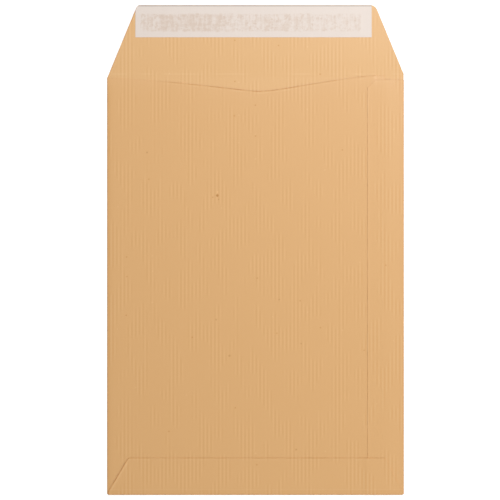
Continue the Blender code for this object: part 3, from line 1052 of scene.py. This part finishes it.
def strip_material():
    """Thin silicone paper: it turns darker and warmer where the adhesive wets it from below."""
    nodes = Nodes("silicone_paper")
    place = nodes.add("ShaderNodeSeparateXYZ", [("Vector", nodes.place())])
    wet = wetness(nodes, place)
    paper = nodes.mix(wet, (*STRIP, 1), (*STRIP_WET, 1))
    cloud = nodes.about_zero(nodes.noise(*STRIP_CLOUDS), STRIP_CLOUD_TONE)
    edge = nodes.product(nodes.ramp(nodes.mark("rim"), STRIP_EDGE_WIDTH, 0.0), STRIP_EDGE_TONE)
    # Painted shade along the strip's upper edge
    by_top = nodes.ramp(place.outputs["Y"], strip_high.y - STRIP_TOP_WIDTH, strip_high.y)
    top = nodes.product(by_top, STRIP_TOP_SHADE_TONE)
    nodes.set("Base Color", nodes.scaled(paper, nodes.sum(cloud, edge, top, 1.0)))
    nodes.set_sheen(STRIP_SHEEN, STRIP_ROUGHNESS_SPREAD, STRIP_ROUGHNESS)
    nodes.set("Specular IOR Level", STRIP_SPECULAR)
    nodes.bump(wet, *STRIP_RELIEF)
    return nodes.material


def glue_material(name, colour, roughness):
    """A thin uneven film of glue."""
    nodes = Nodes(name)
    uneven = nodes.about_zero(nodes.noise(*GLUE_CLOUDS), GLUE_TONE)
    nodes.set("Base Color", nodes.scaled(colour, nodes.math("ADD", uneven, 1.0)))
    nodes.set_sheen(GLUE_SHEEN, GLUE_ROUGHNESS_SPREAD, roughness)
    nodes.bump(nodes.noise(*GLUE_GRAIN), *GLUE_RELIEF)
    return nodes.material


# Room, light and camera

def direct_look(tree):
    """1 for what the camera, a reflection or a clear piece sees directly."""
    path = tree.nodes.new("ShaderNodeLightPath")
    total = None
    for name in ("Is Camera Ray", "Is Glossy Ray", "Is Transmission Ray"):
        if total is None:
            total = path.outputs[name]
            continue
        larger = tree.nodes.new("ShaderNodeMath")
        larger.operation = "MAXIMUM"
        tree.links.new(total, larger.inputs[0])
        tree.links.new(path.outputs[name], larger.inputs[1])
        total = larger.outputs[0]
    return total


def floor_glow(tree):
    """The floor's own white, stronger far out, where less lamp light reaches it."""
    place = tree.nodes.new("ShaderNodeTexCoord")
    away = tree.nodes.new("ShaderNodeVectorMath")
    away.operation = "LENGTH"
    tree.links.new(place.outputs["Object"], away.inputs[0])
    glow = tree.nodes.new("ShaderNodeMapRange")
    tree.links.new(away.outputs["Value"], glow.inputs["Value"])
    glow.inputs["From Min"].default_value = NEAR_FLOOR
    glow.inputs["From Max"].default_value = FAR_FLOOR
    glow.inputs["To Min"].default_value = FLOOR_GLOW
    glow.inputs["To Max"].default_value = FAR_FLOOR_GLOW
    return glow.outputs["Result"]


def make_floor():
    bpy.ops.mesh.primitive_plane_add(size=FLOOR_SIZE, location=(0, 0, FLOOR_DEPTH))
    floor = bpy.context.object
    floor.name = "floor"
    look = bpy.data.materials.new("pale_floor")
    look.use_nodes = True
    tree = look.node_tree
    tree.nodes.clear()
    diffuse = tree.nodes.new("ShaderNodeBsdfDiffuse")
    diffuse.inputs["Color"].default_value = (*FLOOR, 1)
    glow = tree.nodes.new("ShaderNodeEmission")
    scaled = tree.nodes.new("ShaderNodeMath")
    scaled.operation = "MULTIPLY"
    tree.links.new(floor_glow(tree), scaled.inputs[1])
    tree.links.new(direct_look(tree), scaled.inputs[0])
    tree.links.new(scaled.outputs[0], glow.inputs["Strength"])
    both = tree.nodes.new("ShaderNodeAddShader")
    tree.links.new(diffuse.outputs[0], both.inputs[0])
    tree.links.new(glow.outputs[0], both.inputs[1])
    out = tree.nodes.new("ShaderNodeOutputMaterial")
    tree.links.new(both.outputs[0], out.inputs["Surface"])
    floor.data.materials.append(look)


def make_world():
    """Even fill light, white where the camera sees past the floor."""
    world = bpy.data.worlds.new("studio")
    bpy.context.scene.world = world
    world.use_nodes = True
    tree = world.node_tree
    sky = tree.nodes["Background"]
    sky.inputs["Color"].default_value = (1, 1, 1, 1)
    level = tree.nodes.new("ShaderNodeMapRange")
    tree.links.new(direct_look(tree), level.inputs["Value"])
    level.inputs["To Min"].default_value = FILL_STRENGTH
    level.inputs["To Max"].default_value = 1.0
    tree.links.new(level.outputs["Result"], sky.inputs["Strength"])


def make_lamp(name, place, size, power):
    """A round soft lamp that faces the middle of the envelope."""
    lamp = bpy.data.lights.new(name, "AREA")
    lamp.shape = "DISK"
    lamp.size = size
    lamp.energy = power
    made = bpy.data.objects.new(name, lamp)
    made.location = place
    made.rotation_mode = "QUATERNION"
    made.rotation_quaternion = (-made.location).to_track_quat("-Z", "Y")
    bpy.context.scene.collection.objects.link(made)


def make_lamps():
    """A lamp high over the top right corner, and a lower one beyond the bottom right corner."""
    make_lamp("overhead", OVERHEAD_PLACE, OVERHEAD_SIZE, OVERHEAD_POWER)
    make_lamp("side", SIDE_PLACE, SIDE_SIZE, SIDE_POWER)


def make_camera():
    """Straight above the envelope, as in the photo, with the seal flap at the top."""
    lens = bpy.data.cameras.new("camera")
    lens.lens = LENS
    lens.sensor_width = SENSOR
    camera = bpy.data.objects.new("camera", lens)
    camera.location = (VIEW_CENTRE_X, 0, VIEW_WIDTH * LENS / SENSOR)
    bpy.context.scene.collection.objects.link(camera)
    bpy.context.scene.camera = camera


make_paper(kraft_material())
dry_glue = glue_material("dried_glue", DRY_GLUE, GLUE_ROUGHNESS)
make_seam_glue(dry_glue)
make_bottom_glue(dry_glue)
make_adhesive(glue_material("tacky_adhesive", ADHESIVE, ADHESIVE_ROUGHNESS))
make_strip(strip_material())
make_floor()
make_world()
make_lamps()
make_camera()
bpy.context.scene.view_settings.view_transform = "Standard"
